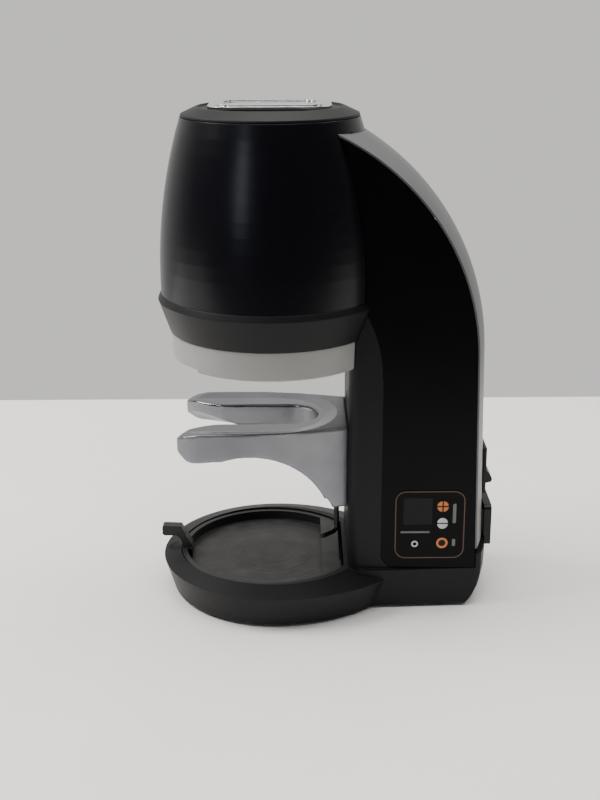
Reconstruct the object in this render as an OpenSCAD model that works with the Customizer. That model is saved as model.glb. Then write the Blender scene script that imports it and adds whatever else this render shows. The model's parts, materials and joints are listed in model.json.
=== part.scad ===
// Automatic coffee tamper: a motor-driven tamper in a barrel head, over a fork that holds the filter holder.
// +Z is up, -X is the front, the tamping axis is X = 0, Y = 0, and the table is Z = 0.

/* [Base] */
// radius of the round base at its upper edge
ring_r = 73; // [66:0.5:80]
// radius of the round base at its foot
ring_foot_r = 67; // [60:0.5:74]
// height of the base's outer upper edge
ring_edge_z = 22; // [16:0.5:28]
// height of the flat rim around the tray
ring_rim_z = 25.5; // [22:0.5:30]
// radius of the grounds tray
tray_r = 57.2; // [50:0.1:60]
// how far the tray sits in front of the tamping axis
tray_shift = 4; // [0:0.5:8]
// straight rear edge of the tray
tray_rear_x = 42; // [36:0.5:43]
// floor height of the tray's recess
tray_floor_z = 18.5; // [17:0.5:21]

/* [Column] */
// front face of the column
col_front_x = 46; // [44:0.5:50]
// half width of the column across its side panels
col_half_w = 40; // [36:0.5:44]
// centre of the round back, front to rear
back_cx = -25; // [-40:1:-10]
// centre height of the round back
back_cz = 160; // [140:1:180]
// radius of the side panels' round rear edge
back_r = 147.4; // [130:0.2:160]
// outward lean of the straight lower back, in degrees
back_lean = 1.35; // [0:0.05:3]
// how far the back cover stands out at its middle
cover_crown = 8.2; // [3:0.1:10]

/* [Head] */
// underside of the light skirt ring
skirt_z = 156.3; // [150:0.1:162]
// radius of the skirt ring
skirt_r = 62; // [58:0.5:64]
// underside of the collar
collar_z = 174; // [170:0.5:178]
// widest radius of the collar's lip
collar_r = 69.9; // [66:0.1:74]
// underside of the barrel shell
shell_z = 197; // [192:0.5:202]
// radius of the barrel shell at its foot
shell_r = 68; // [64:0.5:72]
// radius of the barrel shell at its top
shell_top_r = 53.2; // [48:0.1:58]
// top of the barrel shell
shell_top_z = 301; // [290:1:310]

/* [Tamper] */
// radius of the tamper disc, for a 58 mm basket
tamper_r = 29.15; // [26:0.05:29.5]
// underside of the tamper disc when it is up
tamper_z = 162; // [158:0.5:166]
// radius of the ram
ram_r = 13; // [10:0.5:16]
// radius of the spindle
spindle_r = 5; // [4:0.5:6]

/* [Fork] */
// top face of the fork
fork_z = 117; // [105:0.5:125]
// half width of the fork across its prongs
fork_half_w = 42.3; // [36:0.1:46]
// half width of the slot for the spouts
slot_half_w = 18; // [15:0.5:22]
// radius of the round seat that holds the filter holder
seat_r = 32; // [30:0.1:36]
// depth of the round seat
seat_depth = 1.5; // [0.5:0.1:3]
// Width of the bevel round the fork's seat
seat_bevel = 8; // [2:0.5:9]

/* [View] */
// the sub-part to make

/* [Hidden] */
$fn = 96;
eps = 0.01;
wall = 3;
shell_arc_z = 207;
shell_drop = shell_r - shell_top_r;
shell_arc_r = (pow(shell_top_z - shell_arc_z, 2) + pow(shell_drop, 2)) / (2 * shell_drop);
crown_r = (pow(col_half_w, 2) + pow(cover_crown - 1, 2)) / (2 * (cover_crown - 1));
block_top_z = 26.2;
lip_top_z = 36;
panel_x = 66.3;
panel_t = 3;
key_x = 104.3;
key_z = [68.6, 57.3, 44];
screw_x = 40.5;
screw_z = 293;
key_pos = [39.5, -12];
rocker_axis = [124, 81];
seg = 12;

function shell_radius(z) =
  shell_r - shell_arc_r + sqrt(pow(shell_arc_r, 2) - pow(max(0, z - shell_arc_z), 2));

// ---------- shared outlines ----------

// A box given by its two corners.
module span(a, b) {
  translate(a) cube(b - a);
}

// A rectangle with round corners, centred on the origin.
module round_rect(w, h, r) {
  square([w - 2 * r, h], center = true);
  square([w, h - 2 * r], center = true);
  for (sx = [-1, 1], sy = [-1, 1])
    translate([sx * (w / 2 - r), sy * (h / 2 - r)]) circle(r = r);
}

// The round front of the base and its fuller sides, with walls that draw in towards the foot.
module base_outer() {
  side_shift = 22;
  intersection() {
    translate([0, 0, 2]) cylinder(h = 30, r1 = ring_foot_r, r2 = ring_foot_r + (ring_r - ring_foot_r) * 1.5);
    span([-90, -90, 0], [0.2, 90, 40]);
  }
  intersection() {
    span([0, -90, 0], [panel_x + 3.5, 90, 40]);
    side_cone(side_shift);
    side_cone(-side_shift);
  }
}

module side_cone(shift) {
  translate([0, shift, 2])
    cylinder(h = 30, r1 = ring_foot_r + abs(shift), r2 = ring_foot_r + abs(shift) + (ring_r - ring_foot_r) * 1.5);
}

// The gentle cone that the base's top surface follows.
module base_top() {
  cylinder(h = ring_rim_z, r = 60);
  translate([0, 0, -5]) cylinder(h = ring_rim_z + 5 - 0.1, r1 = 60 + (ring_rim_z + 4.9) / 0.27, r2 = 60);
}

// The tray's outline: a disc with a straight rear edge and round rear corners.
module tray_outline(grow, rear, corner) {
  r = tray_r + grow;
  intersection() {
    translate([-tray_shift, 0]) circle(r = r);
    union() {
      translate([-80, -80]) square([80 + rear - corner, 160]);
      translate([rear - corner - eps, -44]) square([corner + eps, 88]);
      for (s = [-1, 1]) translate([rear - corner, s * 40]) circle(r = corner);
    }
  }
}

// The column's front in plan.
module column_plan(inset) {
  f = col_front_x + inset;
  w = col_half_w - inset;
  polygon([[f, 7.6 - w], [f, w - 7.6], [f + 7, w - 0.6], [panel_x, w], [panel_x, -w], [f + 7, 0.6 - w]]);
  for (s = [-1, 1]) translate([f + 7, s * (w - 7.6)]) circle(r = 7);
}

// Everything the column's outer back encloses, out to radius r, over the given width.
module back_volume(r, w) {
  translate([back_cx, 0, back_cz]) rotate([90, 0, 0]) {
    rotate([0, 0, back_lean])
      rotate_extrude(angle = 75) translate([0, -w]) square([r, 2 * w]);
    rotate([0, 0, back_lean]) rotate([90, 0, 0])
      linear_extrude(height = back_cz - 20) translate([0, -w]) square([r, 2 * w]);
  }
}

// The head's outside, grown by g, which the column and its covers are cut to fit.
module head_outer(g) {
  rotate_extrude() polygon(concat(
    [[0, collar_z], [63.3 + g, collar_z],
     [collar_r + g, shell_z - 3.5], [shell_r + g, shell_z]],
    [for (i = [0:seg]) let (z = shell_z + (shell_top_z - shell_z) * i / seg) [shell_radius(z) + g, z]],
    [[shell_top_r + g, shell_top_z + 12], [0, shell_top_z + 12]]));
}

// A cap screw along +Z: its head's top is at z = 0 and its shank runs down.
module cap_screw(r, head_r, head_h, length) {
  difference() {
    translate([0, 0, -head_h]) cylinder(h = head_h, r = head_r, $fn = 32);
    translate([0, 0, -head_h * 0.6]) cylinder(h = head_h, r = r * 0.9, $fn = 6);
  }
  translate([0, 0, -head_h - length]) cylinder(h = length + eps, r = r, $fn = 32);
}

// ---------- base and column ----------

module base_casting() {
  color([0.10, 0.10, 0.11]) difference() {
    union() {
      intersection() {
        base_outer();
        base_top();
      }
      rear_block();
      difference() {
        translate([0, 0, 12]) linear_extrude(height = 186) column_plan(0);
        column_front_edge();
        head_outer(0.25);
      }
      panel_corner_fill();
    }
    // well for the tray
    translate([0, 0, 15]) linear_extrude(height = 20) tray_outline(0.8, tray_rear_x + 1.8, 16);
    // finger dip under the tray's tab
    translate([-66, 0, 33.5]) sphere(r = 12);
    // hollow underside
    translate([-tray_shift, 0, 1]) cylinder(h = 10, r = 52);
    span([40, -30, 1], [70, 30, 10]);
    // hollow column, with bosses that carry the spine
    difference() {
      translate([0, 0, 9]) linear_extrude(height = 200) difference() {
        column_plan(5);
        translate([0, -60]) square([51, 120]);
      }
      for (s = [-1, 1], z = [52, 120])
        translate([50, s * 22, z]) rotate([0, 90, 0]) cylinder(h = 4.6, r = 5, $fn = 48);
    }
    span([56, -33, 9], [126, 33, 60]);
    span([125, -33, 9], [130, 33, 24]);
    span([60, -36, 30], [126, 36, 60]);
    span([66, -30, 1], [128, 30, 10]);
    // seat for the base plate
    translate([0, 0, 1]) linear_extrude(height = 2.2) plate_outline(0.3);
    // slots for the fork's clamp bolts
    for (s = [-1, 1]) {
      span([45, s * 18 - 2.7, 77], [52, s * 18 + 2.7, 100]);
      for (z = [77, 100])
        translate([45, s * 18, z]) rotate([0, 90, 0]) cylinder(h = 7, r = 2.7, $fn = 32);
    }
    // screw holes for the fork's anchor block
    for (s = [-1, 1])
      translate([45, s * 5.8, 92]) rotate([0, 90, 0]) cylinder(h = 7, r = 1.3, $fn = 32);
    // tapped holes for the base plate's screws
    for (p = base_screw_points())
      translate([p[0], p[1], 1]) cylinder(h = 8, r = 1.5, $fn = 32);
    // tapped holes for the spine's foot bolts
    for (s = [-1, 1], z = [52, 120])
      translate([48, s * 22, z]) rotate([0, 90, 0]) cylinder(h = 8, r = 2.05, $fn = 32);
    // window for the filter holder sensor
    translate([45, 0, 128]) rotate([0, 90, 0]) cylinder(h = 7, r = 3.05, $fn = 48);
    // notch for the power inlet
    span([124, -15.7, 29.4], [140, 15.7, 60]);
  }
}

function base_screw_points() =
  [for (s = [-1, 1], p = [[-54, 22], [-12, 58], [56, 36], [98, 33]]) [p[0], s * p[1]]];

// Closes the gap outside each side panel's rounded lower front corner.
module panel_corner_fill() {
  corner = 11;
  for (s = [-1, 1]) translate([0, s > 0 ? col_half_w : panel_t - col_half_w, 0]) rotate([90, 0, 0])
    linear_extrude(height = panel_t) difference() {
      translate([panel_x - 1, block_top_z - 1]) square([corner * 0.8 + 1, corner * 0.8 + 1]);
      translate([panel_x + corner, block_top_z + 0.3 + corner]) circle(r = corner + 0.3);
    }
}

// The foot block behind the ring, with a raised lip that takes the lower end of the back cover.
module rear_block() {
  difference() {
    intersection() {
      union() {
        linear_extrude(height = block_top_z) block_plan();
        translate([0, 0, block_top_z - 1]) linear_extrude(height = lip_top_z - block_top_z + 1) intersection() {
          block_plan();
          translate([126, -60]) square([20, 120]);
        }
      }
      // crowned rear wall that draws in towards the foot
      translate([19, 0, 0]) rotate_extrude($fn = 192)
        polygon([[0, 0], [107.5, 0], [112, 6], [115, 13], [116.6, 21], [117, 28], [117, lip_top_z], [0, lip_top_z]]);
    }
    for (s = [-1, 1])
      translate([60, s * 43.5, 18]) rotate([s * 9, 0, s * -3]) translate([0, s * 10 - 10, -30]) cube([90, 20, 30]);
    span([40, -60, -1], [150, 60, 2]);
  }
}

module block_plan() {
  corner = 9;
  rear = 133;
  polygon([[52, -43.5], [52, 43.5], [rear - corner, 40], [rear, 40 - corner], [rear + 6, 0], [rear, corner - 40], [rear - corner, -40]]);
  for (s = [-1, 1]) translate([rear - corner, s * (40 - corner)]) circle(r = corner);
}

// Removes everything behind the side panels' front edges, which sweep forward under the head.
module column_front_edge() {
  sweep_r = 80;
  for (s = [-1, 1]) translate([0, s * 50, 0]) rotate([90, 0, 0])
    linear_extrude(height = 27, center = true) difference() {
      translate([40, 150]) square([40, 60]);
      translate([panel_x - 0.3 - sweep_r, 152]) circle(r = sweep_r);
      translate([0, 140]) square([panel_x - 0.3, 12]);
    }
}

module plate_outline(grow) {
  circle(r = 64 + grow);
  plate_sides(grow);
}

module plate_sides(grow) {
  polygon([[0, -62 - grow], [0, 62 + grow], [60, 40 + grow], [118 + grow, 36.5 + grow], [118 + grow, -36.5 - grow], [60, -40 - grow]]);
}

module base_plate() {
  color([0.55, 0.56, 0.58]) difference() {
    union() {
      translate([0, 0, 2]) cylinder(h = 1.2, r = 64);
      translate([0, 0, 2]) linear_extrude(height = 1.2) plate_sides(0);
    }
    for (p = base_screw_points())
      translate([p[0], p[1], 0]) cylinder(h = 5, r = 1.7, $fn = 32);
  }
}

module rubber_feet() {
  color([0.05, 0.05, 0.05])
    for (p = [[0, 0], [-44, 34], [-44, -34], [112, 27], [112, -27]])
      translate([p[0], p[1], 0]) cylinder(h = 2, r = 6.5, $fn = 48);
}

module base_screws() {
  color([0.6, 0.6, 0.62])
    for (p = base_screw_points())
      translate([p[0], p[1], 1]) {
        cylinder(h = 1, r = 2.8, $fn = 32);
        cylinder(h = 7.5, r = 1.5, $fn = 32);
      }
}

module grounds_tray() {
  color([0.09, 0.09, 0.10]) difference() {
    union() {
      difference() {
        translate([0, 0, 15.4]) linear_extrude(height = ring_rim_z - 1 - 15.4) tray_outline(0, tray_rear_x, 15);
        span([tray_rear_x - 1, -24, ring_rim_z - 2], [tray_rear_x + 1, 24, ring_rim_z]);
      }
      // round rear edge that the tray tilts on
      translate([tray_rear_x - 1, 24, ring_rim_z - 2]) rotate([90, 0, 0]) cylinder(h = 48, r = 1, $fn = 48);
      tray_tab();
    }
    difference() {
      translate([0, 0, tray_floor_z]) linear_extrude(height = 7) tray_outline(-3.2, 30, 14);
      span([-62, -5.5, 15], [-54.6, 5.5, 30]);
    }
  }
}

// The lifting tab: a neck up from the tray's rim and a grip bar that reaches out over the base.
module tray_tab() {
  difference() {
    union() {
      translate([0, 6, 0]) rotate([90, 0, 0]) linear_extrude(height = 12)
        polygon([[-60.8, 17], [-54.6, 17], [-54.6, 26], [-58.5, 32], [-61.5, 39], [-73, 39.5], [-74, 38.5], [-74, 34], [-72.5, 33], [-65, 33], [-62.5, 31], [-60.8, 26]]);
    }
    for (s = [-1, 1])
      translate([-80, s * 6 - 1, 18]) rotate([s * 6, 0, 0]) translate([0, s > 0 ? 0.6 : -3.6, 0]) cube([30, 5, 30]);
  }
}

// One side panel's outline, front to rear and bottom to top.
module panel_outline() {
  sweep_r = 80;
  corner = 11;
  intersection() {
    union() {
      translate([panel_x + corner, block_top_z + 0.3]) square([70, 300]);
      translate([panel_x, block_top_z + 0.3 + corner]) square([20, 300]);
      translate([panel_x + corner, block_top_z + 0.3 + corner]) circle(r = corner);
      difference() {
        translate([36, 152]) square([40, 150]);
        translate([panel_x - sweep_r, 152]) circle(r = sweep_r);
      }
    }
    union() {
      translate([back_cx, back_cz]) {
        circle(r = back_r - 0.2);
        rotate(back_lean) translate([0, -150]) square([back_r - 0.2, 150]);
      }
    }
    translate([0, block_top_z + 0.3]) square([200, 300]);
  }
}

module side_panel(s) {
  difference() {
    translate([0, s > 0 ? col_half_w : panel_t - col_half_w, 0]) rotate([90, 0, 0])
      linear_extrude(height = panel_t) panel_outline();
    head_outer(0.25);
    span([125.8, -50, 0], [150, 50, lip_top_z + 0.3]);
  }
}

module side_panel_near() {
  color([0.03, 0.03, 0.035]) difference() {
    side_panel(-1);
    for (z = key_z)
      translate([key_x, -41, z]) rotate([-90, 0, 0]) cylinder(h = 6, r = 3.8, $fn = 48);
    span([80, -41, 56], [98, -36, 74]);
  }
}

module side_panel_far() {
  color([0.03, 0.03, 0.035]) side_panel(1);
}

// The cover's section: a crowned skin over a flat seat, drawn as distance from the back's centre.
module cover_section() {
  centre = back_r + cover_crown - crown_r;
  intersection() {
    difference() {
      translate([centre, 0]) circle(r = crown_r);
      intersection() {
        translate([centre, 0]) circle(r = crown_r - 2.5);
        translate([0, -33]) square([200, 66]);
      }
    }
    translate([back_r, -col_half_w]) square([20, 2 * col_half_w]);
  }
}

module back_cover() {
  color([0.33, 0.34, 0.36]) difference() {
    translate([back_cx, 0, back_cz]) rotate([90, 0, 0]) rotate([0, 0, back_lean]) {
      rotate_extrude(angle = 68, $fn = 120) cover_section();
      rotate([90, 0, 0]) linear_extrude(height = 124) cover_section();
    }
    head_outer(0.25);
    span([100, -50, 0], [150, 50, lip_top_z + 0.4]);
    span([120, -15.7, 30], [145, 15.7, 58]);
    span([120, -11.2, 66], [145, 11.2, 95.2]);
    at_cover_screws() {
      translate([0, 0, -12]) cylinder(h = 20, r = 1.7, $fn = 32);
      translate([0, 0, -1.6]) cylinder(h = 5, r = 3, $fn = 32);
    }
  }
}

// Places a child, drawn along +Z, square on the cover's crown at each of its two screws.
module at_cover_screws() {
  translate([back_cx, 0, back_cz]) rotate([90, 0, 0]) {
    rotate([0, 0, back_lean]) translate([back_r + cover_crown, -48, 0]) rotate([0, 90, 0]) children();
    rotate([0, 0, 6.6]) translate([back_r + cover_crown, 0, 0]) rotate([0, 90, 0]) children();
  }
}

module cover_screws() {
  color([0.25, 0.25, 0.27]) at_cover_screws() translate([0, 0, -0.15]) cap_screw(1.6, 2.8, 1.4, 10);
}

// ---------- head ----------

// The shell's section between its outer curve and a skin of the wall thickness.
module barrel_shell() {
  color([0.015, 0.015, 0.018]) difference() {
    rotate_extrude() polygon(concat(
      [[shell_r - wall, shell_z]],
      [for (i = [0:seg]) let (z = shell_z + (shell_top_z - shell_z) * i / seg) [shell_radius(z), z]],
      [for (i = [seg:-1:1]) let (z = shell_z + (shell_top_z - shell_z) * i / seg) [shell_radius(z) - wall, z]]));
    // opening for the column's inside
    intersection() {
      span([40, -36.5, 190], [90, 36.5, 284]);
      back_volume(back_r - 6, 40);
    }
    translate([0, 0, screw_z]) rotate([0, 90, -33]) cylinder(h = 80, r = 1.55, $fn = 32);
  }
}

module collar_ring() {
  color([0.12, 0.12, 0.13]) difference() {
    rotate_extrude() polygon([
      [58.8, collar_z], [63.3, collar_z], [collar_r, shell_z - 3.5], [shell_r + 0.3, shell_z - eps],
      [62, shell_z - eps], [62, shell_z - 6], [58.8, collar_z + 9]]);
    span([44, -37, 160], [80, 37, 200]);
  }
}

module skirt_ring() {
  color([0.72, 0.72, 0.72]) difference() {
    rotate_extrude() polygon([
      [31, skirt_z + 2], [33, skirt_z], [skirt_r - 1, skirt_z], [skirt_r, skirt_z + 1],
      [skirt_r + 0.6, collar_z - 0.2], [skirt_r - 3, collar_z - 0.2], [skirt_r - 3, skirt_z + 4],
      [35, skirt_z + 4], [35, collar_z - 2], [31, collar_z - 2]]);
    translate([0, 0, 150]) linear_extrude(height = 50) column_plan(-0.25);
    span([54, -37, 150], [80, 37, 200]);
    // shallow relief across the front of the lower edge
    intersection() {
      difference() {
        translate([0, 0, skirt_z - 1]) cylinder(h = 3.4, r = 80);
        translate([0, 0, skirt_z - 2]) cylinder(h = 6, r = 57);
      }
      rotate([0, 0, 135]) cube([90, 90, 400]);
    }
    // bolts up into the head plate
    for (a = [90, 210, 330])
      rotate([0, 0, a]) translate([46, 0, 150]) {
        cylinder(h = 15, r = 2.1, $fn = 32);
        cylinder(h = skirt_z + 2.4 - 150, r = 3.6, $fn = 32);
      }
  }
}

module top_cap() {
  color([0.07, 0.07, 0.075]) difference() {
    rotate_extrude() polygon([
      [0, 303], [shell_top_r - 6, 303], [shell_top_r - 6, 289], [shell_top_r - 3.4, 289], [shell_top_r - 3.4, shell_top_z + 0.4],
      [shell_top_r - 0.3, shell_top_z + 0.4], [shell_top_r - 0.6, shell_top_z + 1.6], [44, 306.6], [42.6, 306.8],
      [42, 305.6], [0, 306.2]]);
    translate([0, 0, 300]) for (s = [-1, 1]) translate([s * 20, 0, 0]) cylinder(h = 20, r = 2.05, $fn = 32);
    translate([0, 0, screw_z]) rotate([0, 90, -33]) cylinder(h = 80, r = 1.4, $fn = 32);
  }
}

// A plain bright plate on the cap, held by two pegs.
module cap_plate() {
  color([0.85, 0.85, 0.86]) {
    translate([0, 0, 306.2]) linear_extrude(height = 1.6) round_rect(72, 50, 14);
    translate([0, 0, 307.7]) linear_extrude(height = 0.9) difference() {
      round_rect(64, 42, 11);
      round_rect(54, 32, 7);
    }
    for (s = [-1, 1]) translate([s * 20, 0, 303.4]) cylinder(h = 3.2, r = 2, $fn = 32);
  }
}

module shell_screw() {
  color([0.02, 0.02, 0.02]) translate([0, 0, screw_z]) rotate([0, 90, -33])
    translate([0, 0, shell_radius(screw_z) - 0.4]) cap_screw(1.4, 1.5, 1, 7);
}

// ---------- frame inside ----------

module frame_spine() {
  color([0.45, 0.46, 0.48]) difference() {
    span([54.6, -28, 40], [61.6, 28, 256]);
    // cable window
    span([50, -12, 200], [66, 12, 236]);
    span([50, -14, 62], [66, 14, 108]);
    for (s = [-1, 1], z = [52, 120, 178, 252])
      translate([50, s * (z < 130 ? 22 : 16), z]) rotate([0, 90, 0]) cylinder(h = 15, r = 2.6, $fn = 32);
  }
}

module head_plate() {
  color([0.68, 0.69, 0.70]) difference() {
    intersection() {
      union() {
        translate([0, 0, collar_z]) cylinder(h = 8, r = 58.8);
        span([30, -30, collar_z], [54.6, 30, collar_z + 8]);
      }
      span([-70, -70, 160], [54.6, 70, 200]);
    }
    translate([0, 0, collar_z - 1]) cylinder(h = 10, r = 16);
    for (s = [-1, 1]) translate([0, s * 30, collar_z - 1]) cylinder(h = 10, r = 4, $fn = 48);
    for (a = [90, 210, 330]) rotate([0, 0, a]) translate([46, 0, collar_z - 1]) cylinder(h = 8, r = 2, $fn = 32);
    for (s = [-1, 1]) translate([40, s * 16, 178]) rotate([0, 90, 0]) cylinder(h = 20, r = 2, $fn = 32);
  }
}

module top_plate() {
  color([0.68, 0.69, 0.70]) difference() {
    union() {
      translate([0, 0, 248]) cylinder(h = 8, r = 46);
      span([20, -30, 248], [54.6, 30, 256]);
    }
    translate([0, 0, 247]) cylinder(h = 10, r = 14);
    for (s = [-1, 1]) translate([0, s * 30, 247]) cylinder(h = 10, r = 4, $fn = 48);
    for (sx = [-1, 1], sy = [-1, 1]) translate([sx * 23.57, sy * 23.57, 247]) cylinder(h = 10, r = 2, $fn = 32);
    for (s = [-1, 1]) translate([40, s * 16, 252]) rotate([0, 90, 0]) cylinder(h = 20, r = 2, $fn = 32);
    for (a = [45, 135, 225, 315]) rotate([0, 0, a]) translate([18, 0, 247]) {
      cylinder(h = 10, r = 1.5, $fn = 32);
      translate([0, 0, 6.6]) cylinder(h = 5, r = 2.9, $fn = 32);
    }
  }
}

// Cap screws along +X and -X that hold the spine to the casting and the two plates.
module frame_bolts() {
  color([0.3, 0.3, 0.32]) {
    for (s = [-1, 1], z = [178, 252])
      translate([65.6, s * 16, z]) rotate([0, 90, 0]) cap_screw(2, 3.8, 4, 20);
    for (s = [-1, 1], z = [52, 120])
      translate([65.6, s * 22, z]) rotate([0, 90, 0]) cap_screw(2, 3.8, 4, 13);
    for (a = [90, 210, 330])
      rotate([0, 0, a]) translate([46, 0, skirt_z + 0.2]) mirror([0, 0, 1]) cap_screw(2, 3.4, 2.2, 18);
  }
}

module guide_rods() {
  color([0.8, 0.8, 0.82]) for (s = [-1, 1]) translate([0, s * 30, collar_z]) cylinder(h = 82, r = 4, $fn = 48);
}

module ram_bush() {
  color([0.75, 0.6, 0.3]) difference() {
    union() {
      translate([0, 0, collar_z]) cylinder(h = 8, r = 16);
      translate([0, 0, collar_z + 8]) cylinder(h = 1.6, r = 19);
    }
    translate([0, 0, collar_z - 1]) cylinder(h = 12, r = ram_r + 0.05);
  }
}

module wiper_seal() {
  color([0.06, 0.06, 0.06]) difference() {
    translate([0, 0, collar_z - 1.6]) cylinder(h = 1.6, r = 18);
    translate([0, 0, collar_z - 2]) cylinder(h = 3, r = ram_r + 0.1);
  }
}

module bearing_housing() {
  color([0.68, 0.69, 0.70]) difference() {
    union() {
      translate([0, 0, 238]) cylinder(h = 10, r = 22);
      translate([0, 0, 248]) cylinder(h = 4, r = 14);
    }
    translate([0, 0, 240]) cylinder(h = 13, r = 11);
    translate([0, 0, 230]) cylinder(h = 30, r = 7.5);
    for (a = [45, 135, 225, 315]) rotate([0, 0, a]) translate([18, 0, 237]) cylinder(h = 12, r = 1.5, $fn = 32);
  }
}

module bearing_screws() {
  color([0.3, 0.3, 0.32]) for (a = [45, 135, 225, 315])
    rotate([0, 0, a]) translate([18, 0, 255.8]) cap_screw(1.5, 2.7, 2.2, 12);
}

// A sealed ball bearing that carries the spindle's thrust.
module thrust_bearing() {
  color([0.7, 0.7, 0.72]) {
    difference() {
      translate([0, 0, 240]) cylinder(h = 8, r = 11);
      translate([0, 0, 239]) cylinder(h = 10, r = spindle_r + 0.05);
      for (z = [239.9, 247.6]) translate([0, 0, z]) difference() {
        cylinder(h = 0.5, r = 9.6);
        translate([0, 0, -1]) cylinder(h = 3, r = 6.6);
      }
    }
  }
}

// ---------- tamper drive ----------

module tamper_disc() {
  color([0.78, 0.78, 0.79]) difference() {
    union() {
      translate([0, 0, tamper_z]) cylinder(h = 1, r1 = tamper_r - 0.6, r2 = tamper_r);
      translate([0, 0, tamper_z + 1]) cylinder(h = 5, r = tamper_r);
      translate([0, 0, tamper_z + 6]) cylinder(h = 2, r1 = tamper_r, r2 = ram_r + 4);
    }
    translate([0, 0, tamper_z - 1]) cylinder(h = 10, r = 2.6, $fn = 48);
    translate([0, 0, tamper_z - 1]) cylinder(h = 4.2, r = 5, $fn = 48);
  }
}

module tamper_screw() {
  color([0.7, 0.7, 0.72]) translate([0, 0, tamper_z + 0.4]) difference() {
    union() {
      cylinder(h = 2.8, r = 4.8, $fn = 48);
      cylinder(h = 10.4, r = 2.5, $fn = 48);
    }
    translate([0, 0, -1]) cylinder(h = 2.6, r = 1.8, $fn = 6);
  }
}

module ram() {
  color([0.8, 0.8, 0.82]) difference() {
    translate([0, 0, tamper_z + 8]) cylinder(h = 54, r = ram_r);
    translate([0, 0, tamper_z + 7]) cylinder(h = 4, r = 2.5, $fn = 48);
    translate([0, 0, tamper_z + 11.4]) cylinder(h = 60, r = 6.5);
    translate([0, 0, tamper_z + 48]) cylinder(h = 20, r = 9);
  }
}

module spindle_nut() {
  color([0.75, 0.6, 0.3]) difference() {
    union() {
      translate([0, 0, tamper_z + 48]) cylinder(h = 14, r = 9);
      translate([0, 0, tamper_z + 62]) cylinder(h = 3, r = 13);
    }
    translate([0, 0, tamper_z + 40]) cylinder(h = 40, r = spindle_r + 0.06);
  }
}

// The cross bar that the guide rods keep from turning, with a flag for the home sensor.
module crosshead() {
  color([0.6, 0.61, 0.63]) {
    difference() {
      translate([0, 0, tamper_z + 52]) linear_extrude(height = 9) {
        round_rect(30, 78, 12);
        circle(r = 20);
      }
      translate([0, 0, tamper_z + 40]) cylinder(h = 30, r = ram_r);
      for (s = [-1, 1]) translate([0, s * 30, tamper_z + 40]) cylinder(h = 30, r = 6);
    }
    span([18, -2, tamper_z + 55], [32.2, 2, tamper_z + 58]);
    span([30.8, -2, tamper_z + 57], [32.2, 2, tamper_z + 80]);
  }
}

module rod_bushes() {
  color([0.75, 0.6, 0.3]) for (s = [-1, 1]) translate([0, s * 30, tamper_z + 52]) difference() {
    cylinder(h = 9, r = 6, $fn = 48);
    translate([0, 0, -1]) cylinder(h = 12, r = 4.05, $fn = 48);
  }
}

module spindle() {
  color([0.7, 0.71, 0.73]) {
    translate([0, 0, 175]) cylinder(h = 65, r = spindle_r);
    translate([0, 0, 240]) cylinder(h = 8, r = spindle_r);
    translate([0, 0, 239]) cylinder(h = 1, r = 7);
    translate([0, 0, 248]) cylinder(h = 46, r = 4);
  }
}

module motor_rotor() {
  color([0.35, 0.35, 0.37]) difference() {
    translate([0, 0, 262]) cylinder(h = 26, r = 13.6);
    translate([0, 0, 261]) cylinder(h = 28, r = 4);
  }
}

module motor_body() {
  color([0.12, 0.12, 0.13]) difference() {
    translate([0, 0, 256]) linear_extrude(height = 34) intersection() {
      square([56.4, 56.4], center = true);
      circle(r = 36.5);
    }
    translate([0, 0, 261]) cylinder(h = 30, r = 14);
    translate([0, 0, 250]) cylinder(h = 20, r = 5);
    for (sx = [-1, 1], sy = [-1, 1]) translate([sx * 23.57, sy * 23.57, 255]) {
      cylinder(h = 6, r = 2.5, $fn = 32);
      translate([0, 0, 5]) cylinder(h = 40, r = 4.6, $fn = 32);
    }
  }
}

module motor_cap() {
  color([0.6, 0.6, 0.62]) difference() {
    translate([0, 0, 290]) linear_extrude(height = 7) intersection() {
      square([56.4, 56.4], center = true);
      circle(r = 36.5);
    }
    translate([0, 0, 289]) cylinder(h = 6, r = 8);
    for (sx = [-1, 1], sy = [-1, 1]) translate([sx * 23.57, sy * 23.57, 280]) cylinder(h = 30, r = 4.6, $fn = 32);
  }
}

module motor_bolts() {
  color([0.3, 0.3, 0.32]) for (sx = [-1, 1], sy = [-1, 1])
    translate([sx * 23.57, sy * 23.57, 264]) cap_screw(2, 3.6, 3.6, 12);
}

// ---------- fork ----------

// The fork's side view: a flat top, prongs with rounded tips, and a web that sweeps down to the column.
module fork_side() {
  polygon(concat(
    [[col_front_x - 0.1, 64.5], [36.2, 64.5], [35.2, 67.5], [32.6, 71.6]],
    arc(-15.5, fork_z - 66.7, 51.2, 24, 108, 16),
    arc(-48.2, fork_z - 6.2, 12.8, 270, 171, 9),
    arc(-40.2, fork_z - 46, 46, 114, 90, 5),
    [[col_front_x - 0.1, fork_z]]));
}

// Points on an arc of radius r about (x, y), from angle a to angle b.
function arc(x, y, r, a, b, n) =
  [for (i = [0:n]) let (t = a + (b - a) * i / n) [x + r * cos(t), y + r * sin(t)]];

function mirrored(points) = [for (i = [len(points) - 1:-1:0]) [points[i][0], -points[i][1]]];

// The fork in plan: fuller at the prongs, narrower at the column, with flared lead-in tips.
module fork_plan() {
  side_r = 250;
  side = [for (x = [48:-11:-40]) [x, fork_half_w - side_r + sqrt(pow(side_r, 2) - pow(x + 30, 2))]];
  tip = arc(-45.5, fork_half_w - 18, 18, 85, 138, 6);
  flare = arc(-29.5, slot_half_w + 33, 33, 207, 270, 8);
  slot_end = arc(10, 0, slot_half_w, 90, 5, 8);
  half = concat(side, tip, flare, slot_end);
  polygon(concat(half, mirrored(half)));
}

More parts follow.
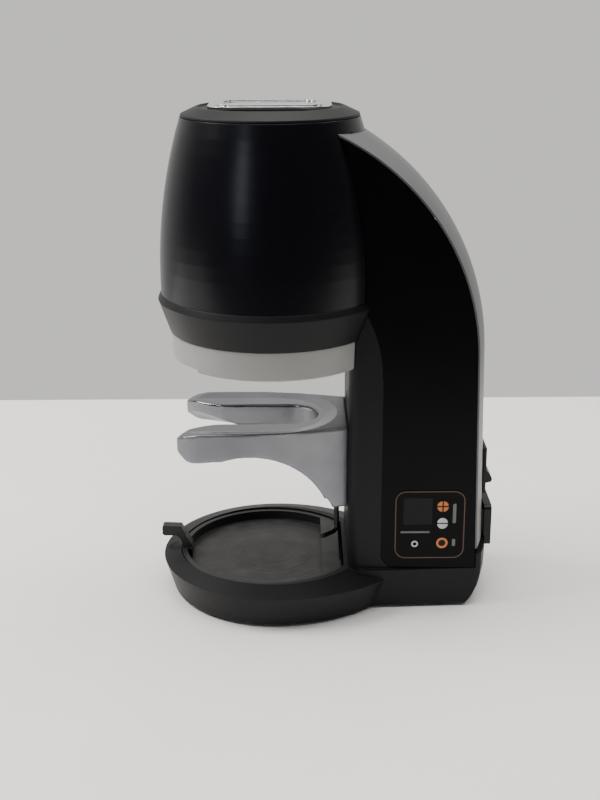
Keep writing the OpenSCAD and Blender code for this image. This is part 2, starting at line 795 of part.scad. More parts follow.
module filter_fork() {
  color([0.74, 0.75, 0.77]) difference() {
    intersection() {
      translate([0, 60, 0]) rotate([90, 0, 0]) linear_extrude(height = 120) fork_side();
      translate([0, 0, 60]) linear_extrude(height = 70) fork_plan();
    }
    // round seat in the top face
    translate([0, 0, fork_z - seat_depth]) cylinder(h = 10, r = seat_r);
    translate([0, 0, fork_z - seat_depth]) cylinder(h = 2 * seat_depth, r1 = seat_r, r2 = seat_r + 2 * seat_bevel);
    // the seat and its bevel run out to the prong tips
    translate([-70, 0, fork_z - seat_depth]) rotate([90, 0, 90]) linear_extrude(height = 70)
      polygon([[-seat_r, 0], [seat_r, 0], [seat_r + 2 * seat_bevel, 2 * seat_depth], [-seat_r - 2 * seat_bevel, 2 * seat_depth]]);
    // vaulted underside of the prongs
    translate([-44, 0, fork_z - 5]) rotate([0, 20, 0]) translate([-20, 0, -60]) rotate([0, 90, 0])
      cylinder(h = 56, r = 60);
    // pocket for the anchor block
    span([35.6, -8.15, 75.4], [50, 8.15, 101.6]);
    // adjusting screw and its head
    translate([screw_x, 0, 60]) cylinder(h = 13, r = 4.3, $fn = 48);
    translate([screw_x, 0, 66]) cylinder(h = 42, r = 3.1, $fn = 48);
    // stored key
    translate([key_pos[0], key_pos[1], 60]) cylinder(h = 38, r = 1.82, $fn = 32);
    // clamp bolts
    for (s = [-1, 1]) translate([34, s * 18, 85]) rotate([0, 90, 0]) cylinder(h = 20, r = 2.5, $fn = 32);
  }
}

module fork_bolts() {
  color([0.3, 0.3, 0.32])
    for (s = [-1, 1]) translate([54.1, s * 18, 85]) rotate([0, 90, 0]) cap_screw(2.5, 4.6, 2.9, 15);
}

module anchor_block() {
  color([0.4, 0.4, 0.42]) difference() {
    span([36, -8, 88], [46, 8, 96]);
    translate([screw_x, 0, 80]) cylinder(h = 20, r = 3.05, $fn = 48);
    for (s = [-1, 1]) translate([44, s * 5.8, 92]) rotate([0, 90, 0]) cylinder(h = 10, r = 1.2, $fn = 32);
  }
}

module anchor_bolts() {
  color([0.3, 0.3, 0.32])
    for (s = [-1, 1]) translate([53.2, s * 5.8, 92]) rotate([0, 90, 0]) cap_screw(1.2, 2.2, 2.1, 6.9);
}

module adjust_screw() {
  color([0.3, 0.3, 0.32]) translate([screw_x, 0, 0]) difference() {
    union() {
      translate([0, 0, 69.1]) cylinder(h = 3.8, r = 4.2, $fn = 48);
      translate([0, 0, 72]) cylinder(h = 33, r = 3, $fn = 48);
    }
    translate([0, 0, 68]) cylinder(h = 4, r = 1.75, $fn = 6);
  }
}

module screw_retainer() {
  color([0.55, 0.55, 0.57]) translate([screw_x, 0, 67]) difference() {
    cylinder(h = 2, r = 4.3, $fn = 48);
    translate([0, 0, -1]) cylinder(h = 4, r = 2.2, $fn = 48);
  }
}

// A bent hexagon key, stored with its long arm in the fork and its short arm turned to the front.
module hex_key() {
  bend = 4;
  low = 40;
  color([0.45, 0.46, 0.48]) translate([key_pos[0], key_pos[1], 0]) rotate([0, 0, 225]) {
    translate([0, 0, low + bend]) cylinder(h = 52, r = 1.732, $fn = 6);
    translate([bend, 0, low + bend]) rotate([-90, 0, 0])
      rotate([0, 0, 90]) rotate_extrude(angle = 90) translate([bend, 0]) circle(r = 1.732, $fn = 6);
    translate([bend, 0, low]) rotate([0, 90, 0]) cylinder(h = 9, r = 1.732, $fn = 6);
  }
}

// ---------- controls and electrics ----------

module control_overlay() {
  color([0.04, 0.04, 0.045]) difference() {
    translate([96.5, -col_half_w, 56]) rotate([90, 0, 0]) linear_extrude(height = 0.4) round_rect(44, 46, 7);
    for (z = key_z) translate([key_x, -42, z]) rotate([-90, 0, 0]) cylinder(h = 6, r = 3.8, $fn = 48);
    span([80, -42, 56], [98, -36, 74]);
  }
}

module display_window() {
  color([0.02, 0.02, 0.025]) span([80, -col_half_w - 0.3, 56], [98, -col_half_w + 2.6, 74]);
}

module panel_key(z, c) {
  color(c) translate([key_x, -col_half_w - 0.9, z]) rotate([-90, 0, 0]) cylinder(h = 3.5, r = 3.7, $fn = 48);
}

module key_plus() {
  panel_key(key_z[0], [0.85, 0.42, 0.12]);
}

module key_minus() {
  panel_key(key_z[1], [0.85, 0.85, 0.85]);
}

module key_set() {
  panel_key(key_z[2], [0.75, 0.35, 0.12]);
}

module keypad_board() {
  color([0.05, 0.25, 0.12]) {
    span([77, 34.8 - 2 * 34.8, 36], [118, -33.2, 78]);
    for (z = key_z) translate([key_x, -34.8, z]) rotate([90, 0, 0]) cylinder(h = 1.9, r = 2, $fn = 32);
    span([81, -36.9, 57], [97, -34.7, 73]);
    for (x = [79, 116], z = [38, 76]) translate([x, -34.8, z]) rotate([90, 0, 0]) cylinder(h = 2.2, r = 1.8, $fn = 32);
  }
}

module control_board() {
  color([0.05, 0.25, 0.12]) {
    span([62.6, -26, 126], [64.2, 26, 172]);
    span([64.1, -20, 132], [72, -4, 150]);
    span([64.1, 4, 134], [69, 16, 146]);
    translate([64.1, 0, 162]) rotate([0, 90, 0]) cylinder(h = 12, r = 5, $fn = 32);
    for (y = [-22, 22], z = [130, 168]) translate([61.6, y, z]) rotate([0, 90, 0]) cylinder(h = 1.1, r = 2.2, $fn = 32);
  }
}

module power_supply() {
  color([0.5, 0.5, 0.52]) difference() {
    span([78, -24, 104], [112, 24, 196]);
    span([80, -22, 106], [114, 22, 194]);
  }
  color([0.5, 0.5, 0.52]) for (s = [-1, 1], z = [106, 184])
    span([61.6, s * 22 - 2, z], [78.1, s * 22 + 2, z + 8]);
  // posts that take the cover's screws
  color([0.5, 0.5, 0.52]) difference() {
    union() {
      span([111.9, -4, 108], [128.6, 4, 116]);
      span([111.9, -4, 174], [125.8, 4, 182]);
      span([110, -24, 108], [112, 24, 116]);
      span([110, -24, 174], [112, 24, 182]);
    }
    at_cover_screws() translate([0, 0, -14]) cylinder(h = 20, r = 1.6, $fn = 32);
  }
  color([0.05, 0.25, 0.12]) {
    span([80, -22, 106], [83, 22, 194]);
    span([82.9, -16, 116], [104, 12, 144]);
    span([82.9, -18, 156], [98, 18, 176]);
  }
}

module home_sensor() {
  color([0.08, 0.08, 0.09]) difference() {
    span([26, -6, 238], [38, 6, 248]);
    span([30, -7, 237], [33, 7, 244]);
  }
}

module holder_sensor() {
  color([0.05, 0.05, 0.05]) translate([col_front_x + 5, 0, 128]) rotate([0, -90, 0]) {
    cylinder(h = 4.7, r = 3, $fn = 48);
    translate([0, 0, -1.4]) cylinder(h = 1.4, r = 4.4, $fn = 48);
  }
}

// Clipped leads inside the column: mains from the inlet and switch, and signals up to the head.
module wiring_loom() {
  color([0.12, 0.12, 0.12]) {
    span([106, -3, 80], [108.4, -0.6, 103.8]);
    span([106, 0.6, 48], [108.4, 3, 103.8]);
    span([70, 8, 88], [72.4, 10.4, 133.8]);
    span([70, 8, 172.2], [72.4, 10.4, 228]);
    span([50, 8, 226], [72.4, 10.4, 228.4]);
    span([50, 8, 228.3], [52.4, 10.4, 247.8]);
  }
}

module switch_bezel() {
  color([0.05, 0.05, 0.055]) difference() {
    union() {
      span([132.9, -12.2, 65.2], [134.6, 12.2, 95.8]);
      span([112, -11, 66.2], [133, 11, 95]);
    }
    span([116, -9.2, 68.2], [140, 9.2, 93]);
    translate([rocker_axis[0], 15, rocker_axis[1]]) rotate([90, 0, 0]) cylinder(h = 30, r = 1.55, $fn = 32);
  }
}

// The rocker, with its lower end standing out.
module switch_rocker() {
  color([0.03, 0.03, 0.035]) translate([0, 8.9, 0]) rotate([90, 0, 0]) linear_extrude(height = 17.8) difference() {
    polygon([[120, 78], [120, 84], [131, 92], [133.6, 91.4], [135.4, 81.5], [139.2, 73.6], [138.6, 71.6], [131, 70]]);
    translate([145.6, 84.6]) circle(r = 11.2);
  }
  color([0.03, 0.03, 0.035]) translate([rocker_axis[0], 10.6, rocker_axis[1]]) rotate([90, 0, 0])
    cylinder(h = 21.2, r = 1.5, $fn = 32);
}

module power_inlet() {
  color([0.05, 0.05, 0.055]) difference() {
    union() {
      translate([134, 0, 43.8]) rotate([90, 0, 90]) linear_extrude(height = 4.8) round_rect(31, 27.6, 3);
      span([116, -13.5, 33.6], [134.1, 13.5, 54]);
    }
    span([122, -12, 35.6], [150, 12, 50]);
    span([122, -8.6, 49.9], [150, 8.6, 52.4]);
    inlet_blades(110, 124);
  }
}

module inlet_pins() {
  color([0.8, 0.72, 0.45]) inlet_blades(108.6, 136);
}

// The inlet's three blades between two depths.
module inlet_blades(x0, x1) {
  for (p = [[-7, 42.4], [7, 42.4], [0, 46.4]])
    span([x0, p[0] - 1, p[1] - 2], [x1, p[0] + 1, p[1] + 2]);
}

// ---------- sub-parts ----------

base_casting();
base_plate();
rubber_feet();
base_screws();
grounds_tray();
side_panel_near();
side_panel_far();
back_cover();
cover_screws();
barrel_shell();
collar_ring();
skirt_ring();
top_cap();
cap_plate();
shell_screw();
frame_spine();
head_plate();
top_plate();
frame_bolts();
guide_rods();
ram_bush();
wiper_seal();
bearing_housing();
bearing_screws();
thrust_bearing();
tamper_disc();
tamper_screw();
ram();
spindle_nut();
crosshead();
rod_bushes();
spindle();
motor_rotor();
motor_body();
motor_cap();
motor_bolts();
filter_fork();
fork_bolts();
anchor_block();
anchor_bolts();
adjust_screw();
screw_retainer();
hex_key();
control_overlay();
display_window();
key_plus();
key_minus();
key_set();
keypad_board();
control_board();
power_supply();
home_sensor();
holder_sensor();
wiring_loom();
switch_bezel();
switch_rocker();
power_inlet();
inlet_pins();
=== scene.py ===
import json
import math

import bmesh
import bpy
import numpy as np
from mathutils import Matrix, Vector


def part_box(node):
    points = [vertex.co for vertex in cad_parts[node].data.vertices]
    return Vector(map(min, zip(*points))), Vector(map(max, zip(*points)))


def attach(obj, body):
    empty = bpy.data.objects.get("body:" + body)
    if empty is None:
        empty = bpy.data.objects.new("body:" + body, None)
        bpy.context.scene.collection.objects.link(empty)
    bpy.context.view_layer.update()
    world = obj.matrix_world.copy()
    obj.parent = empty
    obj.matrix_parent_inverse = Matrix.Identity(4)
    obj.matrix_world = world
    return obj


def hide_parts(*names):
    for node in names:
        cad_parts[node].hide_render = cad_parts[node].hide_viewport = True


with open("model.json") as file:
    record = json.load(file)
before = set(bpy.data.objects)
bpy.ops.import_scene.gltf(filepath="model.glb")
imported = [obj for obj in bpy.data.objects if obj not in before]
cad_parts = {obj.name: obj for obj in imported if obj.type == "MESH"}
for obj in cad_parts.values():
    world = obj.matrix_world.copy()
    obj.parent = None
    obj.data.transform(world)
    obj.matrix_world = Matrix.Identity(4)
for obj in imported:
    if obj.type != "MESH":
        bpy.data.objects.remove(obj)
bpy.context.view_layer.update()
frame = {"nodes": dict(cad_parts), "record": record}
nodes = frame["nodes"]
MM = 0.001


# ---------- camera and stage ----------

def look(location, pitch, roll):
    """The placing of a camera that looks along +Y, pitched down, with a slight roll."""
    forward = Vector((0, math.cos(pitch), -math.sin(pitch)))
    right = Vector((1, 0, 0))
    up = right.cross(forward)
    r = right * math.cos(roll) + up * math.sin(roll)
    u = up * math.cos(roll) - right * math.sin(roll)
    m = Matrix((r, u, -forward)).transposed().to_4x4()
    m.translation = Vector(location)
    return m


camera_data = bpy.data.cameras.new("camera")
camera_data.sensor_width = 36
camera_data.lens = 54
camera_data.clip_end = 20
camera = bpy.data.objects.new("camera", camera_data)
bpy.context.scene.collection.objects.link(camera)
camera.matrix_world = look((0.01654, -0.72041, 0.36712), 0.32465, -0.00607)
bpy.context.scene.camera = camera


def area_light(name, place, target, width, height, power, colour=(1, 1, 1)):
    data = bpy.data.lights.new(name, "AREA")
    data.shape = "RECTANGLE"
    data.size, data.size_y = width, height
    data.energy = power
    data.color = colour
    light = bpy.data.objects.new(name, data)
    bpy.context.scene.collection.objects.link(light)
    light.location = place
    light.rotation_euler = (Vector(target) - Vector(place)).to_track_quat("-Z", "Y").to_euler()


WARM_WHITE = (1.0, 0.985, 0.955)
WALL_BRIGHTNESS = 0.74
WINDOW_BLUE = (0.80, 0.86, 1.0)

area_light("key", (-1.35, 0.05, 1.55), (0, 0, 0.1), 1.0, 1.0, 44, WARM_WHITE)
area_light("overhead", (0.1, 0.1, 2.1), (0, 0.1, 0), 2.2, 1.6, 50, WARM_WHITE)
area_light("window", (-1.15, -1.95, 0.85), (0, 0, 0.2), 0.42, 0.9, 5.0, WINDOW_BLUE)
area_light("rear", (1.3, 0.32, 1.5), (0.1, 0, 0.25), 0.7, 0.5, 9)


def room_light():
    """A world that is bright behind and above the object and dark in front of it.

    The camera itself sees an even pale wall.
    """
    world = bpy.data.worlds.new("world")
    bpy.context.scene.world = world
    world.use_nodes = True
    tree = world.node_tree
    link, new = tree.links.new, tree.nodes.new
    background = tree.nodes["Background"]

    def fade(value, start, stop, low, high):
        n = new("ShaderNodeMapRange")
        n.interpolation_type = "SMOOTHSTEP"
        for i, number in enumerate((start, stop, low, high), 1):
            n.inputs[i].default_value = number
        link(value, n.inputs[0])
        return n.outputs[0]

    direction = new("ShaderNodeSeparateXYZ")
    link(new("ShaderNodeTexCoord").outputs["Generated"], direction.inputs[0])
    brighter = new("ShaderNodeMath")
    brighter.operation = "MAXIMUM"
    link(fade(direction.outputs[1], -0.15, 0.65, 0.05, 0.75), brighter.inputs[0])
    link(fade(direction.outputs[2], 0.55, 0.95, 0.0, 0.50), brighter.inputs[1])
    seen = new("ShaderNodeMix")
    link(new("ShaderNodeLightPath").outputs["Is Camera Ray"], seen.inputs[0])
    link(brighter.outputs[0], seen.inputs[2])
    seen.inputs[3].default_value = WALL_BRIGHTNESS
    background.inputs["Color"].default_value = (*WARM_WHITE, 1)
    link(seen.outputs[0], background.inputs["Strength"])


room_light()


# ---------- materials ----------

class Nodes:
    """A small helper that adds and links shader nodes."""

    def __init__(self, name):
        self.material = bpy.data.materials.new(name)
        self.material.use_nodes = True
        self.tree = self.material.node_tree
        self.shader = self.tree.nodes["Principled BSDF"]
        self.coords = self.add("ShaderNodeTexCoord").outputs["Object"]

    def add(self, kind, inputs=None, **settings):
        n = self.tree.nodes.new(kind)
        for key, value in settings.items():
            setattr(n, key, value)
        for key, value in (inputs or {}).items():
            if isinstance(value, bpy.types.NodeSocket):
                self.tree.links.new(value, n.inputs[key])
            else:
                n.inputs[key].default_value = value
        return n

    def noise(self, scale, detail=3.0, rough=0.55, stretch=(1, 1, 1)):
        place = self.add("ShaderNodeMapping", {"Vector": self.coords, "Scale": stretch}).outputs[0]
        inputs = {"Vector": place, "Scale": scale, "Detail": detail, "Roughness": rough}
        return self.add("ShaderNodeTexNoise", inputs).outputs[0]

    def span(self, value, low, high, start=0.3, stop=0.7):
        inputs = {"Value": value, "From Min": start, "From Max": stop, "To Min": low, "To Max": high}
        return self.add("ShaderNodeMapRange", inputs).outputs[0]

    def put(self, n, pairs):
        """Links or sets each input, given by its number."""
        for i, value in pairs:
            if isinstance(value, bpy.types.NodeSocket):
                self.tree.links.new(value, n.inputs[i])
            else:
                n.inputs[i].default_value = value

    def mix(self, factor, a, b):
        n = self.add("ShaderNodeMix", data_type="RGBA")
        self.put(n, ((0, factor), (6, a), (7, b)))
        return n.outputs[2]

    def maths(self, kind, a, b=0.0):
        n = self.add("ShaderNodeMath", operation=kind)
        self.put(n, ((0, a), (1, b)))
        return n.outputs[0]

    def radius(self, x, y):
        square = self.maths("MULTIPLY", x, x)
        return self.maths("SQRT", self.maths("ADD", square, self.maths("MULTIPLY", y, y)))

    def bumpy(self, height, distance, normal=None):
        inputs = {"Strength": 1.0, "Distance": distance, "Height": height}
        if normal:
            inputs["Normal"] = normal
        self.out(self.add("ShaderNodeBump", inputs).outputs[0], "Normal")

    def soft_edges(self, radius):
        return self.add("ShaderNodeBevel", {"Radius": radius}, samples=6).outputs[0]

    def out(self, socket, name):
        self.tree.links.new(socket, self.shader.inputs[name])


def shade(colour, k):
    return tuple(min(1, c * k) for c in colour[:3]) + (1,)


def finish(
    name, colour, metallic, rough, grain, depth, vary, edge,
    coat=0.0, spread=0.02, stretch=(1, 1, 1), shine=0.5,
):
    """A surface with fine grain in its bump, patches in its colour and gloss, and softened edges.

    grain is the scale of the bump, depth its height in mm, vary how far the colour strays,
    edge the radius of the softened edges in mm, spread how far the roughness strays,
    and shine the specular level.
    """
    m = Nodes(name)
    m.shader.inputs["Metallic"].default_value = metallic
    m.shader.inputs["Specular IOR Level"].default_value = shine
    if coat:
        m.shader.inputs["Coat Weight"].default_value = coat
        m.shader.inputs["Coat Roughness"].default_value = 0.12
    patches = m.span(m.noise(28, 4), 0, 1)
    m.out(m.mix(patches, shade(colour, 1 - vary), shade(colour, 1 + vary)), "Base Color")
    m.out(m.span(m.noise(22, 3, 0.6), rough - spread, rough + spread), "Roughness")
    m.bumpy(m.noise(grain, 2, 0.5, stretch), depth * MM, m.soft_edges(edge * MM))
    return m.material


# name: colour, metallic, rough, grain, depth, vary, edge, and what differs from the defaults
FINISHES = {
    "casting_paint": ((0.0065, 0.0065, 0.0075), 0.0, 0.46, 1500, 0.05, 0.10, 0.7, {"shine": 0.20}),
    "panel_paint": ((0.0025, 0.0025, 0.0032), 0.0, 0.32, 900, 0.008, 0.10, 0.5, {"shine": 0.08}),
    "barrel_paint": ((0.0036, 0.0036, 0.0058), 0.0, 0.26, 1300, 0.010, 0.10, 0.5, {"shine": 0.25}),
    "cover_paint": ((0.115, 0.118, 0.122), 0.35, 0.42, 1300, 0.012, 0.05, 0.6, {}),
    "ring_grey": ((0.33, 0.33, 0.32), 0.0, 0.60, 900, 0.03, 0.04, 0.8, {}),
    "plate_bright": ((0.86, 0.86, 0.87), 1.0, 0.10, 500, 0.004, 0.02, 0.3, {"spread": 0.03}),
    "plate_alu": ((0.62, 0.63, 0.64), 1.0, 0.34, 700, 0.01, 0.05, 0.3, {"stretch": (1, 8, 1)}),
    "sheet_steel": ((0.42, 0.42, 0.43), 1.0, 0.42, 600, 0.01, 0.06, 0.3, {"stretch": (1, 1, 6)}),
    "steel": ((0.66, 0.66, 0.68), 1.0, 0.18, 700, 0.004, 0.05, 0.3, {"stretch": (1, 1, 5)}),
    "black_steel": ((0.05, 0.05, 0.055), 0.8, 0.42, 900, 0.01, 0.10, 0.2, {}),
    "bronze": ((0.60, 0.42, 0.19), 1.0, 0.34, 700, 0.008, 0.08, 0.2, {}),
    "rubber": ((0.018, 0.018, 0.018), 0.0, 0.80, 1200, 0.03, 0.10, 0.4, {}),
    "black_plastic": ((0.008, 0.008, 0.009), 0.0, 0.42, 1400, 0.02, 0.10, 0.3, {"shine": 0.3}),
    "window": ((0.003, 0.003, 0.004), 0.0, 0.26, 300, 0.001, 0.10, 0.2, {"shine": 0.16}),
    "overlay": ((0.003, 0.003, 0.0036), 0.0, 0.34, 1600, 0.008, 0.08, 0.2, {"shine": 0.08}),
    "key_rubber": ((0.004, 0.004, 0.004), 0.0, 0.45, 1500, 0.01, 0.10, 0.3, {"shine": 0.2}),
    "print_orange": ((0.66, 0.19, 0.035), 0.0, 0.48, 1500, 0.006, 0.10, 0.1, {}),
    "print_line": ((0.085, 0.036, 0.020), 0.0, 0.48, 1500, 0.006, 0.10, 0.1, {}),
    "print_white": ((0.60, 0.62, 0.60), 0.0, 0.48, 1500, 0.006, 0.06, 0.1, {}),
    "print_grey": ((0.13, 0.14, 0.13), 0.0, 0.48, 1500, 0.006, 0.06, 0.1, {}),
    "circuit_board": ((0.02, 0.14, 0.05), 0.0, 0.35, 500, 0.02, 0.25, 0.1, {"coat": 0.3}),
    "pin_brass": ((0.72, 0.60, 0.30), 1.0, 0.22, 700, 0.004, 0.05, 0.2, {}),
}
mats = {name: finish(name, *row[:-1], **row[-1]) for name, row in FINISHES.items()}


def tray_material():
    """Dark grey paint over faint turned rings, with a little dust in the recess."""
    m = Nodes("tray_paint")
    m.shader.inputs["Specular IOR Level"].default_value = 0.35
    ring_spacing = 0.0115
    recess_top = 0.0190
    place = m.add("ShaderNodeSeparateXYZ", {"Vector": m.coords})
    r = m.radius(m.maths("ADD", place.outputs[0], 0.004), place.outputs[1])
    wave = m.maths("SINE", m.maths("MULTIPLY", r, math.pi / ring_spacing))
    rings = m.maths("POWER", m.maths("ABSOLUTE", wave), 30.0)
    flat = m.maths("LESS_THAN", place.outputs[2], recess_top)
    groove = m.maths("MULTIPLY", rings, flat)
    dust = m.maths("MULTIPLY", m.span(m.noise(60, 6, 0.7), 0, 1, 0.45, 0.75), flat)
    m.out(m.mix(dust, (0.016, 0.016, 0.016, 1), (0.034, 0.033, 0.030, 1)), "Base Color")
    m.out(m.span(m.noise(90, 3), 0.36, 0.50), "Roughness")
    height = m.maths("SUBTRACT", m.maths("MULTIPLY", m.noise(1300, 2), 0.35), groove)
    m.bumpy(height, 0.08 * MM, m.soft_edges(0.6 * MM))
    return m.material


def fork_material():
    """Satin cast aluminium, polished where the seat and its bevel are cut into it."""
    m = Nodes("fork_cast")
    m.shader.inputs["Metallic"].default_value = 1.0
    place = m.add("ShaderNodeSeparateXYZ", {"Vector": m.coords})
    r = m.radius(m.maths("MAXIMUM", place.outputs[0], 0.0), place.outputs[1])
    inside = m.span(r, 1, 0, 0.0396, 0.0403)
    seat = m.maths("MULTIPLY", inside, m.span(place.outputs[2], 0, 1, 0.1130, 0.1145))
    patches = m.span(m.noise(30, 4), 0, 1)
    m.out(m.mix(patches, (0.20, 0.205, 0.225, 1), (0.27, 0.275, 0.295, 1)), "Base Color")
    satin = m.span(m.noise(120, 3), 0.38, 0.50)
    m.out(m.maths("SUBTRACT", satin, m.maths("MULTIPLY", seat, 0.32)), "Roughness")
    m.bumpy(m.maths("MULTIPLY", m.noise(1100, 2), m.maths("SUBTRACT", 1.0, seat)), 0.02 * MM)
    return m.material


mats["tray_paint"] = tray_material()
mats["fork_cast"] = fork_material()

by_slot = {s["node"]: s["material_slot"] for s in frame["record"]["subparts"]}
own = {
    "control_overlay": "overlay",
    "key_plus": "key_rubber",
    "key_minus": "key_rubber",
    "key_set": "key_rubber",
    "hex_key": "black_steel",
}
for name, node in nodes.items():
    node.data.materials.clear()
    node.data.materials.append(mats[own.get(name, by_slot[name])])


# ---------- pieces ----------

# Metres: the radii of the fork's seat and of its bevel's outside, the lowest height of the seat's
# edges, where the rear face's surroundings begin, and the voxel that the casting is remeshed with
SEAT_R = 0.032
BEVEL_R = 0.040
SEAT_LOW = 0.1140
REAR_FROM = 0.0440
VOXEL = 0.00062


def piece(name, mesh, body, material):
    """Links a mesh as a piece that rides on a body."""
    o = bpy.data.objects.new(name, mesh)
    bpy.context.scene.collection.objects.link(o)
    o.data.materials.clear()
    o.data.materials.append(mats[material])
    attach(o, body)
    return o


def clear_anchor_pocket(co):
    """Moves the pocket's walls out of the space that the anchor block sweeps as the fork moves."""
    joints = frame["record"]["behaviour"]["joints"]
    down, up = next(j["range_m"] for j in joints if j["name"] == "fork_height")
    low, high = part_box("anchor_block")
    gap = 0.35 * MM
    walls = (
        (0, low.x - gap, 1),
        (1, low.y - gap, 1),
        (1, high.y + gap, -1),
        (2, low.z - up - gap, 1),
        (2, high.z - down + gap, -1),
    )
    depth = np.stack([way * (co[:, axis] - place) for axis, place, way in walls], axis=1)
    inside = (depth > 0).all(axis=1)
    nearest = depth.argmin(axis=1)
    for i, (axis, place, way) in enumerate(walls):
        co[inside & (nearest == i), axis] = place


def cast_fork():
    """The fork with a casting's round edges: remeshed, then smoothed away from seat and rear face."""
    source = nodes["filter_fork"]
    o = bpy.data.objects.new("fork_casting", source.data.copy())
    bpy.context.scene.collection.objects.link(o)
    remesh = o.modifiers.new("remesh", "REMESH")
    remesh.mode = "VOXEL"
    remesh.voxel_size = VOXEL
    remesh.use_smooth_shade = True
    evaluated = o.evaluated_get(bpy.context.evaluated_depsgraph_get())
    mesh = bpy.data.meshes.new_from_object(evaluated)
    bpy.data.objects.remove(o)
    count = len(mesh.vertices)
    co = np.zeros(count * 3)
    mesh.vertices.foreach_get("co", co)
    co = co.reshape(-1, 3)
    edges = np.zeros(len(mesh.edges) * 2, int)
    mesh.edges.foreach_get("vertices", edges)
    a, b = edges.reshape(-1, 2).T
    degree = np.bincount(np.concatenate([a, b]), minlength=count)[:, None]
    behind = np.hypot(np.maximum(co[:, 0], 0), co[:, 1])
    near = 0.0012
    seat_edge = np.abs(behind - SEAT_R) < near
    bevel_edge = np.abs(behind - BEVEL_R) < near
    near_seat = (seat_edge | bevel_edge) & (co[:, 2] > SEAT_LOW)
    rear = co[:, 0] > REAR_FROM
    weight = np.where(near_seat | rear, 0.12, 1.0)[:, None]
    low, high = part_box("filter_fork")
    for step in range(26):
        total = np.zeros_like(co)
        np.add.at(total, a, co[b])
        np.add.at(total, b, co[a])
        factor = 0.55 if step % 2 == 0 else -0.30
        co = co + weight * factor * (total / degree - co)
        co = np.clip(co, low, high)
    clear_anchor_pocket(co)
    mesh.vertices.foreach_set("co", co.ravel())
    mesh.update()
    o = piece("fork_casting", mesh, "fork", "fork_cast")
    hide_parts("filter_fork")


def side_print(name, outlines, y, body, material, thick=0.05):
    """Flat shapes a hair proud of a face that looks to -Y.

    Each outline is a loop of (x, z) in mm, or an outer and an inner loop.
    """
    mesh = bpy.data.meshes.new(name)
    bm = bmesh.new()
    for outline in outlines:
        loops = outline if isinstance(outline[0][0], (tuple, list)) else [outline]
        n = len(loops[0])
        front, back = (
            [[bm.verts.new((x * MM, depth * MM, z * MM)) for x, z in loop] for loop in loops]
            for depth in (y - thick, y)
        )
        if len(loops) == 1:
            bm.faces.new(front[0])
            bm.faces.new(back[0][::-1])
        for i in range(n):
            j = (i + 1) % n
            bm.faces.new((front[0][i], back[0][i], back[0][j], front[0][j]))
            if len(loops) == 2:
                bm.faces.new((front[0][i], front[0][j], front[1][j], front[1][i]))
                bm.faces.new((back[0][i], back[1][i], back[1][j], back[0][j]))
                bm.faces.new((front[1][i], front[1][j], back[1][j], back[1][i]))
    bmesh.ops.recalc_face_normals(bm, faces=bm.faces)
    bm.to_mesh(mesh)
    bm.free()
    return piece(name, mesh, body, material)


def on_circle(x, z, r, angle):
    return (x + r * math.cos(angle), z + r * math.sin(angle))


def ring_loop(x, z, r, n=40):
    return [on_circle(x, z, r, 2 * math.pi * i / n) for i in range(n)]


def round_box(x0, z0, x1, z1, r, n=8):
    corners = ((x1 - r, z1 - r, 0), (x0 + r, z1 - r, 90), (x0 + r, z0 + r, 180), (x1 - r, z0 + r, 270))
    points = []
    for cx, cz, start in corners:
        points += [on_circle(cx, cz, r, math.radians(start + 90 * i / n)) for i in range(n + 1)]
    return points


def sector(x, z, r, start, stop, gap, n=10):
    """Part of a disc, moved out from the centre so that a gap is left between parts."""
    cx, cz = on_circle(x, z, gap, math.radians((start + stop) / 2))
    arc = [on_circle(cx, cz, r, math.radians(start + (stop - start) * i / n)) for i in range(n + 1)]
    return arc if stop - start >= 180 else [(cx, cz)] + arc


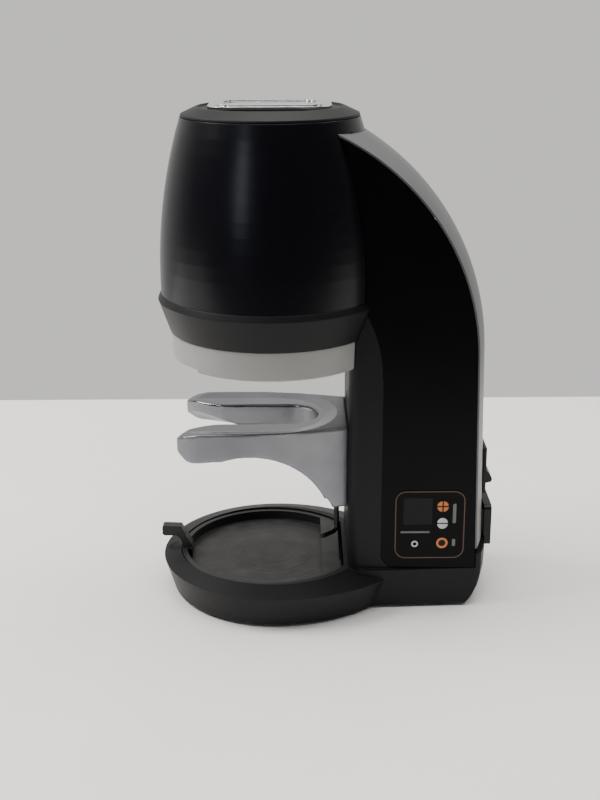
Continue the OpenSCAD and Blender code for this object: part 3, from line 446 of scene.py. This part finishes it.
def control_prints():
    """The panel's border, the marks on its keys, and plain bars and a ring in place of its words."""
    low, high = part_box("control_overlay")
    x0, x1, z0, z1 = low.x / MM, high.x / MM, low.z / MM, high.z / MM
    y = low.y / MM
    border = [
        round_box(x0 + 0.4, z0 + 0.4, x1 - 0.4, z1 - 0.4, 6.6),
        round_box(x0 + 1.1, z0 + 1.1, x1 - 1.1, z1 - 1.1, 5.9),
    ]
    side_print("overlay_line", [border], y, "machine", "print_line")
    centres = {}
    for key in ("key_plus", "key_minus", "key_set"):
        a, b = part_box(key)
        centres[key] = ((a.x + b.x) / 2 / MM, (a.z + b.z) / 2 / MM, a.y / MM)
    x, z, face = centres["key_plus"]
    quarters = [sector(x, z, 3.0, start, start + 90, 0.62) for start in (0, 90, 180, 270)]
    side_print("plus_print", quarters, face, "plus_button", "print_orange")
    x, z, face = centres["key_minus"]
    halves = [sector(x, z, 3.2, start, start + 180, 0.4, 20) for start in (0, 180)]
    side_print("minus_print", halves, face, "minus_button", "print_white")
    x, z, face = centres["key_set"]
    ring = [ring_loop(x, z, 3.6), ring_loop(x, z, 2.2)]
    side_print("set_print", [ring], face, "set_button", "print_orange")
    bars = [
        round_box(110.6, 57.2, 112.6, 70.2, 0.5, 3),
        round_box(110.6, 41.6, 112.6, 46.4, 0.5, 3),
        round_box(78.5, 50.6, 96.5, 51.8, 0.3, 3),
    ]
    side_print("overlay_bars", bars, y, "machine", "print_grey")
    mark = [ring_loop(87.4, 43.2, 2.1), ring_loop(87.4, 43.2, 1.2)]
    side_print("overlay_mark", [mark], y, "machine", "print_white")


cast_fork()
control_prints()


# ---------- stage ----------

def lay_floor():
    """A plain pale floor under the object, cut off behind it where the photo's floor ends."""
    half_width, front, back = 1.4, -0.45, 0.375
    corners = [(-half_width, front, 0), (half_width, front, 0), (half_width, back, 0), (-half_width, back, 0)]
    mesh = bpy.data.meshes.new("floor")
    mesh.from_pydata(corners, [], [(0, 1, 2, 3)])
    o = bpy.data.objects.new("floor", mesh)
    bpy.context.scene.collection.objects.link(o)
    m = Nodes("floor")
    colour = (0.80, 0.79, 0.77)
    m.out(m.mix(m.span(m.noise(3, 4), 0, 1), shade(colour, 0.97), shade(colour, 1.03)), "Base Color")
    m.shader.inputs["Roughness"].default_value = 0.8
    m.bumpy(m.noise(7, 2), 0.004)
    o.data.materials.append(m.material)


lay_floor()
